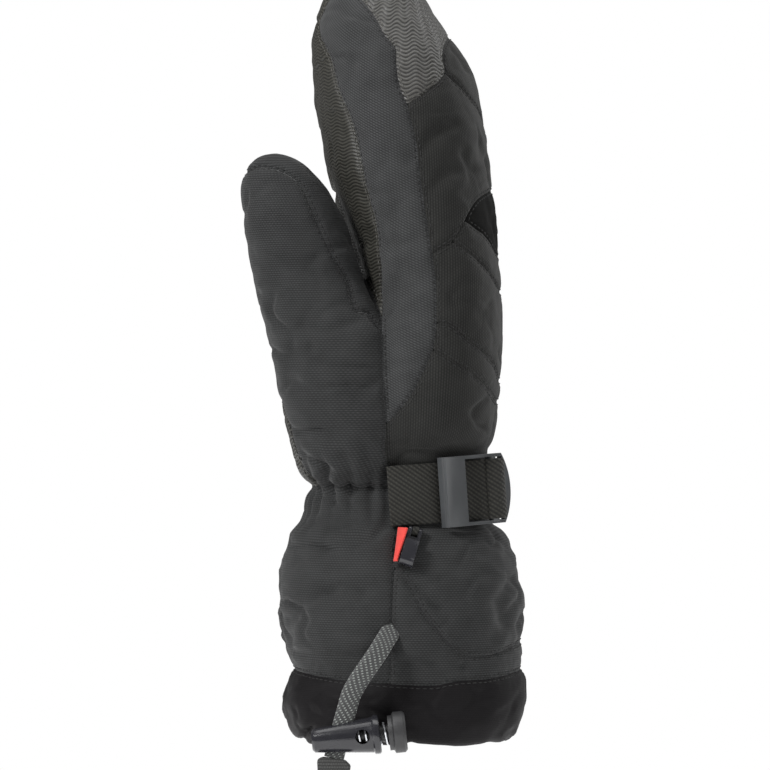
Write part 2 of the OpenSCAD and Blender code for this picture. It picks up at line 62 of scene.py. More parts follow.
def make_camera():
    data = bpy.data.cameras.new("camera")
    data.sensor_width = SENSOR
    data.lens = SENSOR * VIEW_DISTANCE / VIEW_FIELD
    camera = bpy.data.objects.new("camera", data)
    bpy.context.scene.collection.objects.link(camera)
    camera.location = Vector((VIEW_CENTRE[0], FOCUS_Y - VIEW_DISTANCE, VIEW_CENTRE[1])) * MM
    camera.rotation_euler = (math.radians(90), 0, 0)
    bpy.context.scene.camera = camera


make_camera()

# ---- Small tools ----

ROUNDNESS = 2.3  # of a cross-section: 2 is an ellipse, and higher is squarer
HAND_RADIUS = 46  # turns an angle round the hand into a distance on the cloth


def smooth_line(points, step):
    """Points about step apart on a smooth curve through the given points, of any dimension"""
    p = np.array(points, float)
    t = np.concatenate([[0], np.cumsum(np.linalg.norm(np.diff(p, axis=0), axis=1))])
    slope = np.gradient(p, t, axis=0)
    count = max(2, int(math.ceil(t[-1] / step)) + 1)
    s = np.linspace(0, t[-1], count)
    i = np.clip(np.searchsorted(t, s, side="right") - 1, 0, len(t) - 2)
    h = (t[i + 1] - t[i])[:, None]
    u = ((s - t[i])[:, None]) / h
    return (
        (2 * u**3 - 3 * u**2 + 1) * p[i]
        + (u**3 - 2 * u**2 + u) * h * slope[i]
        + (3 * u**2 - 2 * u**3) * p[i + 1]
        + (u**3 - u**2) * h * slope[i + 1]
    )


def squared_circle(count, power=2 / ROUNDNESS):
    """Points round a cross-section, each coordinate from -1 to 1"""
    w = np.linspace(0, 2 * math.pi, count, endpoint=False)
    return (np.sign(np.cos(w)) * np.abs(np.cos(w)) ** power,
            np.sign(np.sin(w)) * np.abs(np.sin(w)) ** power)


def segment_distance(a, d, x, z):
    """Distance in (x, z) from each place to the segment that starts at a and runs along d"""
    t = np.clip(((x - a[0]) * d[0] + (z - a[1]) * d[1]) / (d @ d), 0, 1)
    return np.hypot(x - a[0] - t * d[0], z - a[1] - t * d[1])


def new_object(name, verts, faces, material=None):
    """A mesh object from vertices in millimetres"""
    mesh = bpy.data.meshes.new(name)
    mesh.from_pydata((np.asarray(verts, float) * MM).tolist(), [], np.asarray(faces).tolist()
                     if isinstance(faces, np.ndarray) else faces)
    mesh.validate()
    mesh.update()
    mesh.shade_smooth()
    obj = bpy.data.objects.new(name, mesh)
    bpy.context.scene.collection.objects.link(obj)
    if material:
        mesh.materials.append(material)
    return obj


def set_cloth_coordinates(obj, values):
    """Stores (across, along) in millimetres for each face corner, for the weave to follow"""
    attribute = obj.data.attributes.new("cloth", "FLOAT_VECTOR", "CORNER")
    flat = np.zeros((len(values), 3), np.float32)
    flat[:, :2] = values
    attribute.data.foreach_set("vector", flat.ravel())


def corner_vertices(mesh):
    """The vertex at each face corner"""
    index = np.zeros(len(mesh.loops), np.int32)
    mesh.loops.foreach_get("vertex_index", index)
    return index


def fractal(points, scale, seed, octaves=3):
    """Smooth noise from about -1 to 1 at each point; scale is its wavelength along x, y and z"""
    q = np.asarray(points) / np.asarray(scale, float) + seed * 17.31
    return np.array([noise.fractal(Vector(v), 0.8, 2.1, octaves) for v in q])


def vertex_normals(verts, tris):
    n = np.cross(verts[tris[:, 1]] - verts[tris[:, 0]], verts[tris[:, 2]] - verts[tris[:, 0]])
    out = np.zeros_like(verts)
    for k in range(3):
        for axis in range(3):
            out[:, axis] += np.bincount(tris[:, k], n[:, axis], len(verts))
    return out / np.maximum(np.linalg.norm(out, axis=1, keepdims=True), 1e-12)


# ---- Materials ----

BUMP_STRENGTH = 0.8


class Shader:
    """A material's nodes, built up from plain calls"""

    def __init__(self, name, roughness, **sockets):
        self.material = bpy.data.materials.new(name)
        self.material.use_nodes = True
        self.nodes = self.material.node_tree.nodes
        self.links = self.material.node_tree.links
        self.surface = self.nodes["Principled BSDF"]
        self.surface.inputs["Roughness"].default_value = roughness
        for socket, value in sockets.items():
            self.surface.inputs[socket.replace("_", " ")].default_value = value

    def put(self, socket, value):
        if isinstance(value, bpy.types.NodeSocket):
            self.links.new(value, socket)
        else:
            socket.default_value = value

    def math(self, operation, a, b=0.0):
        node = self.nodes.new("ShaderNodeMath")
        node.operation = operation
        self.put(node.inputs[0], a)
        self.put(node.inputs[1], b)
        return node.outputs[0]

    def cloth(self, turn=0.0):
        """The cloth's own coordinates in millimetres, turned in its plane: across and along"""
        read = self.nodes.new("ShaderNodeAttribute")
        read.attribute_name = "cloth"
        turned = self.nodes.new("ShaderNodeMapping")
        turned.inputs["Rotation"].default_value[2] = math.radians(turn)
        self.links.new(read.outputs["Vector"], turned.inputs["Vector"])
        split = self.nodes.new("ShaderNodeSeparateXYZ")
        self.links.new(turned.outputs[0], split.inputs[0])
        return split.outputs[0], split.outputs[1]

    def noise(self, size, detail=3.0):
        """Noise from 0 to 1 whose features are about size millimetres"""
        where = self.nodes.new("ShaderNodeTexCoord")
        node = self.nodes.new("ShaderNodeTexNoise")
        node.inputs["Scale"].default_value = 1 / (size * MM)
        node.inputs["Detail"].default_value = detail
        self.links.new(where.outputs["Object"], node.inputs["Vector"])
        return node.outputs["Fac"]

    def wave(self, value, pitch, shift=0.0):
        """A sine of the given pitch, from 0 to 1"""
        turns = self.math("MULTIPLY", value, 2 * math.pi / pitch)
        raised = self.math("SINE", self.math("ADD", turns, shift))
        return self.math("ADD", self.math("MULTIPLY", raised, 0.5), 0.5)

    def weave(self, across, along, thread, row):
        """Plain weave: rows of raised threads, each row half a thread further on"""
        rows = self.math("DIVIDE", along, row)
        odd = self.math("MULTIPLY", self.math("FLOOR", rows), math.pi)
        crown = self.math("SINE", self.math("MULTIPLY", self.math("FRACT", rows), math.pi))
        over = self.wave(across, thread, odd)
        return self.math("MULTIPLY", crown, self.math("ADD", self.math("MULTIPLY", over, 0.5), 0.5))

    def colours(self, amount, dark, light):
        ramp = self.nodes.new("ShaderNodeMix")
        ramp.data_type = "RGBA"
        self.put(ramp.inputs["Factor"], amount)
        ramp.inputs["A"].default_value = (*dark, 1)
        ramp.inputs["B"].default_value = (*light, 1)
        self.links.new(ramp.outputs["Result"], self.surface.inputs["Base Color"])

    def bump(self, height, depth):
        """Raises the surface by a height from 0 to 1, up to depth millimetres"""
        node = self.nodes.new("ShaderNodeBump")
        node.inputs["Strength"].default_value = BUMP_STRENGTH
        node.inputs["Distance"].default_value = depth * MM
        self.links.new(height, node.inputs["Height"])
        self.links.new(node.outputs[0], self.surface.inputs["Normal"])

    def mixed(self, main, other, share):
        """main and other added together, other with the given share"""
        return self.math("ADD", self.math("MULTIPLY", main, 1 - share),
                         self.math("MULTIPLY", other, share))


def woven(name, dark, light, thread=1.25, row=0.9, turn=0.0, depth=0.16, roughness=0.8, sheen=0.08):
    s = Shader(name, roughness, Sheen_Weight=sheen, Sheen_Roughness=0.45, Specular_IOR_Level=0.08)
    across, along = s.cloth(turn)
    height = s.weave(across, along, thread, row)
    # The colour follows the weave's height: the gaps between the threads are painted darker as shade and
    # the raised threads lighter, mixed with random mottling of the yarn.
    mottle_and_relief_shading = s.mixed(height, s.noise(9, 4), 0.35)
    s.colours(mottle_and_relief_shading, dark, light)
    s.bump(s.mixed(height, s.noise(1.2, 2), 0.25), depth)
    return s.material


def ribbed_leather(name, dark, light, pitch, swing, swing_pitch, depth, roughness=0.5):
    """Synthetic leather embossed with waving ribs, with painted shade in the rib valleys and painted
    highlight on the crests
    """
    s = Shader(name, roughness, Specular_IOR_Level=0.3)
    across, along = s.cloth()
    sway = s.math("SINE", s.math("MULTIPLY", across, 2 * math.pi / swing_pitch))
    height = s.wave(s.math("ADD", along, s.math("MULTIPLY", sway, swing)), pitch)
    # The colour follows the ribs' height: the valleys are painted darker as shade and the crests lighter
    # as painted highlight, mixed with random mottling.
    mottle_and_relief_shading = s.mixed(height, s.noise(5, 4), 0.3)
    s.colours(mottle_and_relief_shading, dark, light)
    s.bump(s.mixed(height, s.noise(0.5, 2), 0.2), depth)
    return s.material


def twill(name, dark, light, pitch, depth):
    """Webbing with strong diagonal ribs, painted darker between them as shade"""
    s = Shader(name, 0.7, Sheen_Weight=0.05, Specular_IOR_Level=0.2)
    across, along = s.cloth(52)
    rib = s.wave(along, pitch)
    height = s.mixed(rib, s.math("MULTIPLY", rib, s.wave(across, pitch * 0.9)), 0.45)
    # The colour follows the ribs: painted shade between them and lighter crests, mixed with random
    # mottling.
    s.colours(s.mixed(height, s.noise(3), 0.25), dark, light)
    s.bump(height, depth)
    return s.material


def plastic(name, dark, light, roughness, grain=0.03):
    s = Shader(name, roughness, Specular_IOR_Level=0.5)
    s.colours(s.noise(14, 4), dark, light)
    s.bump(s.noise(0.35, 2), grain)
    s.links.new(s.math("ADD", s.math("MULTIPLY", s.noise(6, 3), 0.16), roughness - 0.08),
                s.surface.inputs["Roughness"])
    return s.material


def braid():
    """A flat braid: dark yarn with a light fleck at every other crossing"""
    s = Shader("cord_braid", 0.6, Sheen_Weight=0.3)
    across, along = s.cloth(45)
    one, two = s.wave(across, 1.9), s.wave(along, 1.05)
    crossing = s.math("MULTIPLY", one, two)
    fleck = s.math("GREATER_THAN", crossing, 0.55)
    s.colours(s.math("MULTIPLY", fleck, s.math("ADD", s.noise(1.5, 2), 0.25)),
              (0.014, 0.015, 0.015), (0.20, 0.215, 0.20))
    s.bump(crossing, 0.35)
    return s.material


def wadding():
    s = Shader("padding_white", 0.95, Subsurface_Weight=0.1)
    s.colours(s.noise(6, 6), (0.55, 0.55, 0.52), (0.82, 0.82, 0.79))
    s.bump(s.noise(1.5, 6), 0.5)
    return s.material


def fleece():
    s = Shader("lining_dark", 0.95, Sheen_Weight=0.6, Sheen_Roughness=0.6)
    s.colours(s.noise(2.2, 5), (0.020, 0.020, 0.022), (0.060, 0.060, 0.064))
    s.bump(s.noise(0.9, 5), 0.45)
    return s.material


def film():
    s = Shader("insert_film", 0.35)
    s.colours(s.noise(20, 3), (0.20, 0.22, 0.24), (0.33, 0.35, 0.37))
    s.bump(s.noise(2, 3), 0.1)
    return s.material


def steel():
    s = Shader("spring_wire", 0.28, Metallic=1.0)
    s.colours(s.noise(2, 3), (0.42, 0.43, 0.45), (0.62, 0.63, 0.65))
    s.bump(s.noise(0.2, 2), 0.01)
    return s.material


# For the woven, leather and webbing looks the first colour lies in the gaps and valleys of the weave and
# ribs as painted shade, and the second on the raised threads and crests.
MATERIALS = {
    "shell": woven("shell_rib", (0.004, 0.0041, 0.0041), (0.042, 0.0428, 0.0432)),
    "side": woven("shell_diagonal", (0.006, 0.0061, 0.0063), (0.056, 0.0572, 0.058), turn=32),
    "back": woven("back_cloth", (0.003, 0.003, 0.0029), (0.030, 0.030, 0.0285), turn=90),
    "inlay": woven("inlay_knit", (0.001, 0.001, 0.0009), (0.0032, 0.0032, 0.0028), 0.9, 0.9,
                   depth=0.05, sheen=0.0),
    "hem": woven("hem_tape", (0.002, 0.0018, 0.002), (0.009, 0.008, 0.0088), 0.9, 0.7, depth=0.07,
                 roughness=0.62, sheen=0.02),
    "palm": ribbed_leather("palm_leather", (0.002, 0.002, 0.0017), (0.040, 0.0385, 0.032),
                           1.35, 0.5, 9, 0.3, 0.5),
    "wrap": ribbed_leather("wave_leather", (0.003, 0.003, 0.0027), (0.078, 0.076, 0.070),
                           1.6, 0.9, 8, 0.4, 0.42),
    "webbing": twill("strap_twill", (0.002, 0.002, 0.0017), (0.034, 0.033, 0.028), 1.5, 0.35),
    "tag": woven("tag_tape", (0.36, 0.025, 0.022), (0.68, 0.075, 0.060), 0.7, 0.5, depth=0.08, sheen=0.1),
    "tab": woven("tab_ribbon", (0.012, 0.012, 0.012), (0.070, 0.070, 0.068), 1.0, 1.3, depth=0.25),
    "elastic": woven("elastic_tape", (0.008, 0.008, 0.008), (0.035, 0.035, 0.035), 1.0, 0.9),
    "dark_thread": plastic("thread_dark", (0.002, 0.002, 0.002), (0.006, 0.006, 0.006), 0.8),
    "light_thread": plastic("thread_light", (0.03, 0.029, 0.026), (0.075, 0.072, 0.064), 0.7),
    "buckle": plastic("buckle_satin", (0.030, 0.032, 0.034), (0.052, 0.055, 0.058), 0.36),
    "gloss": plastic("gloss_black", (0.008, 0.008, 0.010), (0.018, 0.018, 0.022), 0.20),
    "cap": plastic("cap_matt", (0.008, 0.008, 0.009), (0.020, 0.020, 0.021), 0.50),
    "braid": braid(),
    "padding": wadding(),
    "lining": fleece(),
    "film": film(),
    "steel": steel(),
}


# ---- Draw cord and wrist strap: a section swept along a line ----


def swept(name, path, section, side, material):
    """A section of (side, up) points carried along a path. side(direction) gives the section's first axis.
    The cloth coordinates are the place across the section and the distance along the path"""
    path = np.array(path, float)
    direction = np.gradient(path, axis=0)
    direction /= np.linalg.norm(direction, axis=1, keepdims=True)
    along = np.concatenate([[0], np.cumsum(np.linalg.norm(np.diff(path, axis=0), axis=1))])
    section = np.array(section)
    n, m = len(path), len(section)
    verts = []
    for p, d in zip(path, direction):
        a = side(d)
        a = a - d * (a @ d)
        a /= np.linalg.norm(a)
        up = np.cross(d, a)
        verts.append(p + section[:, :1] * a + section[:, 1:] * up)
    faces = [(i * m + k, i * m + (k + 1) % m, (i + 1) * m + (k + 1) % m, (i + 1) * m + k)
             for i in range(n - 1) for k in range(m)]
    faces += [tuple(range(m))[::-1], tuple(range((n - 1) * m, n * m))]
    obj = new_object(name, np.vstack(verts), faces, material)
    corners = corner_vertices(obj.data)
    set_cloth_coordinates(obj, np.column_stack([section[corners % m, 0], along[corners // m]]))
    return obj


def rounded_strip(width, thick, radius):
    """The outline of a flat strip with round edges"""
    out, per_corner = [], 4
    for sx, sy, start in ((1, 1, 0), (-1, 1, 90), (-1, -1, 180), (1, -1, 270)):
        for k in range(per_corner + 1):
            w = math.radians(start + 90 * k / per_corner)
            out.append((sx * (width / 2 - radius) + radius * math.cos(w),
                        sy * (thick / 2 - radius) + radius * math.sin(w)))
    return out


def crowned_strip(width, thick):
    """The outline of a flat braid, fuller in its middle"""
    cx, cy = squared_circle(28, 0.8)
    return np.column_stack([width / 2 * cx, thick / 2 * cy])


CORD_WIDTH = 8
CORD_THICK = 3
# The route of part.scad's draw cord, from behind the slit to the pull tab
CORD_ROUTE = [
    (-4.8, -51.6, 47), (-6.1, -53.9, 45), (-7.4, -56.1, 43), (-8.7, -58.4, 41), (-10.1, -60.6, 38.8),
    (-11.7, -62.1, 36.4), (-13.5, -63.1, 33.8), (-15.4, -63.5, 31), (-17.5, -63.5, 28),
    (-19.4, -63.5, 25), (-21.1, -63.5, 22), (-22.3, -63.5, 19), (-23.1, -63.5, 16),
    (-24.2, -63.5, 12), (-25.3, -63.5, 8), (-26.3, -63.5, 4), (-27.4, -63.5, 0), (-28.7, -63.5, -5),
]
cord_path = smooth_line(CORD_ROUTE, 0.8)
draw_cord = swept("braided_draw_cord", cord_path, crowned_strip(CORD_WIDTH, CORD_THICK),
                  lambda d: np.array([0.883, 0, -0.469]), MATERIALS["braid"])
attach(draw_cord, "mitten")
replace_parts(draw_cord, "draw_cord")

STRAP_WIDTH, STRAP_THICK, STRAP_Z = 24.5, 1.5, 100
STRAP_RISE = math.radians(4)
WRIST_X, WRIST_A, WRIST_B = -3, 36 + 1.6 + STRAP_THICK / 2, 40.6 + 1.6 + STRAP_THICK / 2
BUCKLE_AT, BUCKLE_TURN, BAR_AT = (14.8, -44.5), math.radians(38), 26.5
BAR_RADIUS, BAR_GAP = 2.2, 0.4
BAR_WRAP = BAR_RADIUS + BAR_GAP + STRAP_THICK / 2
DOUBLED_GAP = 0.08
STRAP_LEAN = 1.4  # how far the webbing comes in under the bar


def on_wrist(degrees):
    """A point (x, y) of the strap's line round the wrist"""
    w = math.radians(degrees)
    power = 2 / ROUNDNESS
    return (WRIST_X + WRIST_A * math.copysign(abs(math.cos(w)) ** power, math.cos(w)),
            WRIST_B * math.copysign(abs(math.sin(w)) ** power, math.sin(w)))


def in_buckle(s, out):
    """The point (x, y) that is s along the buckle from BUCKLE_AT, and out away from the mitten"""
    c, k = math.cos(BUCKLE_TURN), math.sin(BUCKLE_TURN)
    return BUCKLE_AT[0] + s * c + out * k, BUCKLE_AT[1] + s * k - out * c


def strap_sweep(name, line):
    """Webbing that stands on edge along a line of (x, y) points, in the strap's own rising plane"""
    c, k = math.cos(STRAP_RISE), math.sin(STRAP_RISE)
    path = [(x * c, y, STRAP_Z + x * k) for x, y in smooth_line(line, 0.7)]
    strap = swept(name, path, rounded_strip(STRAP_WIDTH, STRAP_THICK, 0.6),
                  lambda d: np.array([-k, 0, c]), MATERIALS["webbing"])
    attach(strap, "mitten")
    return strap


def round_bar(radius, first, last):
    """Points round the buckle's bar, outside the buckle, between two angles in degrees"""
    return [in_buckle(BAR_AT + radius * math.cos(math.radians(w)), radius * math.sin(math.radians(w)))
            for w in range(first, last, -14)]


def wrist_strap():
    line = [on_wrist(w) for w in range(-94, -48, 5)] + round_bar(BAR_WRAP, 113, -28)
    line += [in_buckle(BAR_AT + BAR_WRAP - STRAP_LEAN, -5.6), (35.9, -12.4)]
    line += [on_wrist(w) for w in range(-8, 95, 6)]
    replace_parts(strap_sweep("wrist_webbing", line), "wrist_strap")
    strap_sweep("webbing_doubled_end", round_bar(BAR_WRAP + STRAP_THICK + DOUBLED_GAP, 150, 44))


wrist_strap()


# ---- Moulded pieces: the CAD shapes with rounded edges ----


def rounded_copy(node, name, body, material, edge):
    """A copy of a CAD piece with its edges rounded to edge millimetres, standing for that piece"""
    mesh = NODES[node].data.copy()
    obj = bpy.data.objects.new(name, mesh)
    bpy.context.scene.collection.objects.link(obj)
    mesh.materials.clear()
    mesh.materials.append(material)
    bm = bmesh.new()
    bm.from_mesh(mesh)
    bmesh.ops.remove_doubles(bm, verts=bm.verts, dist=0.004 * MM)
    bmesh.ops.dissolve_limit(bm, angle_limit=math.radians(1.5), verts=bm.verts, edges=bm.edges)
    bm.to_mesh(mesh)
    bm.free()
    mesh.shade_smooth()
    bevel = obj.modifiers.new("edge", "BEVEL")
    bevel.width = edge * MM
    bevel.segments = 3
    bevel.angle_limit = math.radians(32)
    bevel.harden_normals = True
    corners = corner_vertices(mesh)
    co = np.zeros(len(mesh.vertices) * 3)
    mesh.vertices.foreach_get("co", co)
    co = co.reshape(-1, 3)[corners] / MM
    set_cloth_coordinates(obj, co[:, [0, 2]])
    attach(obj, body)
    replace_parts(obj, node)
    return obj


rounded_copy("strap_buckle", "ladder_buckle", "buckle", MATERIALS["buckle"], 0.45)
rounded_copy("pair_hook", "glove_hook", "hook", MATERIALS["gloss"], 0.25)
rounded_copy("hook_loop", "hook_ribbon", "mitten", MATERIALS["webbing"], 0.1)
barrel = rounded_copy("lock_barrel", "lock_body", "lock", MATERIALS["gloss"], 0.3)
plunger = rounded_copy("lock_plunger", "lock_button", "plunger", MATERIALS["cap"], 0.3)
tab = rounded_copy("pull_tab", "cord_end_tab", "mitten", MATERIALS["tab"], 0.9)


def seam_tag():
    """A folded tape held in the seam, bowed a little"""
    inner = [(-2.6, -43.8, 87.1), (-4.4, -51.5, 73.5)]
    outer = [(0.8, -52.7, 87.1), (-3.4, -56, 73.9)]
    rows, columns, bow = 22, 16, 0.5
    verts = []
    for i in range(rows + 1):
        t = i / rows
        a = np.array(inner[0]) * (1 - t) + np.array(inner[1]) * t
        b = np.array(outer[0]) * (1 - t) + np.array(outer[1]) * t
        for k in range(columns + 1):
            s = k / columns
            verts.append(a * (1 - s) + b * s + np.array([1, 0, 0]) * -bow * math.sin(math.pi * s))
    m = columns + 1
    faces = [(i * m + k, i * m + k + 1, (i + 1) * m + k + 1, (i + 1) * m + k)
             for i in range(rows) for k in range(columns)]
    tag = new_object("plain_red_tag", np.array(verts), faces, MATERIALS["tag"])
    corners = corner_vertices(tag.data)
    set_cloth_coordinates(tag, np.column_stack([corners % m * 0.62, corners // m * 0.62]))
    thick = tag.modifiers.new("fold", "SOLIDIFY")
    thick.thickness = 0.8 * MM
    thick.offset = 0
    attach(tag, "mitten")
    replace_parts(tag, "seam_tag")


seam_tag()


# ---- The body: sections of the hand and the thumb, and the seams between the panels ----

VOXEL = 1.3
WRIST_Z = 103
FAR = 95  # past the mitten's outline on either side
HEM_FOOT_Z, HEM_ROLL = -9, 2.8
THUMB_PATCH_Y, THUMB_PATCH_TOP, THUMB_PATCH_X = -30, 172, -22

# Height, lowest x, highest x, lowest y, highest y: the CAD model's own sections
HAND_ROWS = [
    [0, -45.5, 45, -52, 52], [9, -49.3, 48.3, -54, 54], [19, -49.2, 49.4, -54, 54],
    [24, -47.5, 49.2, -53, 53], [28, -45.6, 48.2, -52.2, 52.2], [36, -48.6, 48, -53.6, 53.6],
    [50, -50.3, 47.8, -54, 54], [65, -49.8, 46.2, -52.8, 52.8], [77, -47.8, 43, -48.5, 48.5],
    [83, -45.3, 39.5, -45, 45], [87, -41.5, 34, -41, 41], [100, -39, 33, -40, 40],
    [116, -35, 33, -42, 42], [126, -30, 36.5, -49, 49], [140, -24.5, 38.8, -52.5, 52.5],
    [160, -17, 39.8, -54.2, 54.2], [180, -14.5, 39.8, -54.5, 54.5], [195, -17.5, 39, -54.5, 54.5],
    [208, -20.8, 38, -54.5, 54.5], [222, -26, 36.3, -54.2, 54.2], [236, -31.6, 34.6, -53.5, 53.5],
    [248, -33.8, 33.3, -52.3, 52.3], [260, -35.8, 30.8, -50.5, 50.5], [271, -37.2, 28, -48, 48],
    [281, -37.7, 23.5, -44.5, 44.5], [290, -37.4, 17.2, -40, 40], [298, -35.6, 11.7, -34.5, 34.5],
    [306, -32.6, 7.5, -28, 28], [313, -28, 2.5, -20, 20], [318, -22, -4, -11, 11],
]
HAND_TIP = [320.5, -13.5, -13.5, 0, 0]
THUMB_ROWS = [
    [101, -36.5, -4, -36, 16], [108, -41.5, 2, -41.5, 19], [116, -45.2, 5, -47, 20],
    [130, -49, 6, -51.5, 18], [148, -52.2, 5.5, -54, 14], [162, -54.6, 1, -53.2, 10],
    [175, -58, -9.5, -49.5, 6], [188, -60.8, -17.6, -45, 3], [199, -62.8, -21, -43, 2],
    [209, -64.6, -24.8, -42, 1], [219, -65.9, -29.6, -41, 0], [227, -66.2, -34.6, -38, -3],
    [232.5, -65, -40, -34, -7], [236.7, -60.8, -45.8, -28, -13],
]
THUMB_TIP = [239, -53, -53, -20.5, -20.5]

# Seams, as points (x, z) seen from the thumb's side
SEAMS = {
    "tip": [(-16, 326), (-26, 311)],
    "palm": [(-26, 311), (-32.5, 301), (-35.5, 290), (-30.8, 278.6), (-27, 265), (-21.7, 251),
             (-16.4, 227), (-11.5, 206), (-10.6, 197), (-9.6, 177.5), (-8.7, 147), (-7.6, 128.7)],
    "centre": [(-7.6, 128.7), (-7.8, 117), (-6.2, 109), (-5, WRIST_Z)],
    "cuff": [(-5, WRIST_Z), (-2.9, 96.8), (-2.5, 88), (-4.1, 80), (-4.4, 71.3)],
    "cuff_foot": [(-4.4, 71.3), (-5.3, 55), (-5.8, 24)],
    "wrap_edge": [(-26, 311), (-18.2, 302.6), (-12.9, 295.6), (-7.6, 285.8), (-3.7, 281),
                  (-3.7, 276), (-1.6, 263.6), (0.8, 258.3)],
    "wrap_foot": [(0.8, 258.3), (7.4, 262.4), (12.7, 267), (16.4, 271.4)],
    "wrap_back": [(16.4, 271.4), (15.6, 281), (19.5, 291), (FAR, 291)],
    "back_top": [(0.8, 258.3), (4.1, 245), (5.7, 233), (7, 222), (9, 209.5), (10.9, 197.5)],
    "back_mid": [(10.9, 197.5), (12.3, 188), (12.6, 170)],
    "back_strip": [(12.6, 170), (12.2, 165), (11.1, 159)],
    "back_foot": [(11.1, 159), (6.8, 149), (1.5, 139.4), (-7.6, 128.7)],
    "crown": [(16.4, 271.4), (20.9, 267.7), (27, 261.6), (31.6, 255.4), (32.8, 250), (FAR, 250)],
    "chevron_foot": [(10.9, 197.5), (19, 202.5)],
    "chevron_mid": [(19, 202.5), (24.2, 211)],
    "chevron_top": [(24.2, 211), (29.1, 219.5), (35.7, 224.7), (FAR, 224.7)],
    "inlay_foot": [(24.2, 211), (30.8, 207), (39, 196.8), (FAR, 196.8)],
    "knuckle": [(19, 202.5), (25.4, 198.4), (31.6, 193.5), (36, 188.2), (39.4, 182.9), (FAR, 182.9)],
    "strip_top": [(12.6, 170), (18.5, 168.7), (24.6, 163.4), (30.8, 158.7), (36, 153.8),
                  (38.8, 146.4), (FAR, 146.4)],
    "strip_foot": [(11.1, 159), (20, 154), (26.2, 150), (32.6, 144.7), (37.5, 137.8), (FAR, 137.8)],
    "cuff_curve": [(-4.4, 71.3), (1.6, 65.6), (7.8, 52), (13.5, 45.5), (19.3, 38.5), (25.2, 35.3),
                   (32.8, 34.9), (47, 38.5), (FAR, 38.5)],
    "hem_palm": [(-FAR, 27.5), (-45, 27.5), (-21.7, 25), (-5.8, 24)],
    "hem_back": [(-5.8, 24), (-0.8, 23.8), (11.9, 23.4), (20.9, 25), (32.8, 25.4), (47.8, 27.5),
                 (FAR, 27.5)],
    "thumb": [(-FAR, 231.5), (-65.6, 231.5), (-61.5, 233.7), (-55.4, 233.3), (-48.4, 231.2),
              (-42.2, 225.9), (-37.7, 215.7), (-33.2, 205), (-27.9, 194.3), (-23.4, 186.6),
              (-21.3, 178.4), (-18.9, 174), (-16.4, 174.7), (-13.5, 171.4), (-9.6, 166.5), (FAR, 166.5)],
    "heel": [(-FAR, 139), (-50.5, 139), (-46, 124), (-42, 113), (-36, WRIST_Z)],
}
SEAM_STEP = 3


def eased(points):
    """A seam as a smooth line; its far end, past the mitten's outline, stays straight"""
    inside = [p for p in points if abs(p[0]) < FAR]
    line = smooth_line(inside, SEAM_STEP)
    before = [p for p in points[:1] if abs(p[0]) >= FAR]
    after = [p for p in points[-1:] if abs(p[0]) >= FAR]
    return np.array([*before, *line, *after])


LINES = {name: eased(points) for name, points in SEAMS.items()}


def outline(*names):
    """A panel's outline: names of seams, a minus sign for one run backwards, or points of its own"""
    parts = []
    for n in names:
        if not isinstance(n, str):
            parts.append([n])
        elif n[0] == "-":
            parts.append(LINES[n[1:]][::-1])
        else:
            parts.append(LINES[n])
    return np.vstack(parts)


def depth_outside(poly, x, z):
    """Signed distance from points to an outline in (x, z), below 0 inside it"""
    nearest = np.full(len(x), np.inf)
    inside = np.zeros(len(x), bool)
    for a, b in zip(poly, np.roll(poly, -1, axis=0)):
        d = b - a
        if d @ d < 1e-12:
            continue
        nearest = np.minimum(nearest, segment_distance(a, d, x, z))
        crosses = (a[1] > z) != (b[1] > z)
        at = a[0] + (z - a[1]) * d[0] / (d[1] if d[1] else 1)
        inside ^= crosses & (x < at)
    return np.where(inside, -nearest, nearest)


def bag_mesh(rows, tip):
    """A closed bag through the sections, as vertices and faces"""
    around, step = 160, 2.0
    table = smooth_line([*rows, tip], step)[:-1]
    cx, cy = squared_circle(around)
    verts = []
    for z, x1, x2, y1, y2 in table:
        half_x = max((x2 - x1) / 2, 0.4)
        half_y = max((y2 - y1) / 2, 0.4)
        verts.append(np.column_stack(
            [(x1 + x2) / 2 + half_x * cx, (y1 + y2) / 2 + half_y * cy, np.full(around, z)]))
    n = len(table)
    verts = np.vstack([*verts, [[tip[1], tip[3], tip[0]]],
                       [[(rows[0][1] + rows[0][2]) / 2, (rows[0][3] + rows[0][4]) / 2, rows[0][0]]]])
    faces = []
    for k in range(around):
        k2 = (k + 1) % around
        faces += [(i * around + k, i * around + k2, (i + 1) * around + k2, (i + 1) * around + k)
                  for i in range(n - 1)]
        faces.append(((n - 1) * around + k, (n - 1) * around + k2, n * around))
        faces.append((k2, k, n * around + 1))
    return verts, faces


def remeshed(parts, voxel):
    """One even triangle mesh around several overlapping closed ones"""
    verts, faces, start = [], [], 0
    for v, f in parts:
        verts.append(v)
        faces += [tuple(i + start for i in face) for face in f]
        start += len(v)
    obj = new_object("to_remesh", np.vstack(verts), faces)
    modifier = obj.modifiers.new("remesh", "REMESH")
    modifier.mode = "VOXEL"
    modifier.voxel_size = voxel * MM
    graph = bpy.context.evaluated_depsgraph_get()
    mesh = bpy.data.meshes.new_from_object(obj.evaluated_get(graph))
    bpy.data.objects.remove(obj)
    bm = bmesh.new()
    bm.from_mesh(mesh)
    bmesh.ops.triangulate(bm, faces=bm.faces)
    out_v = np.array([v.co for v in bm.verts]) / MM
    out_f = np.array([[v.index for v in f.verts] for f in bm.faces])
    bm.free()
    bpy.data.meshes.remove(mesh)
    return out_v, out_f


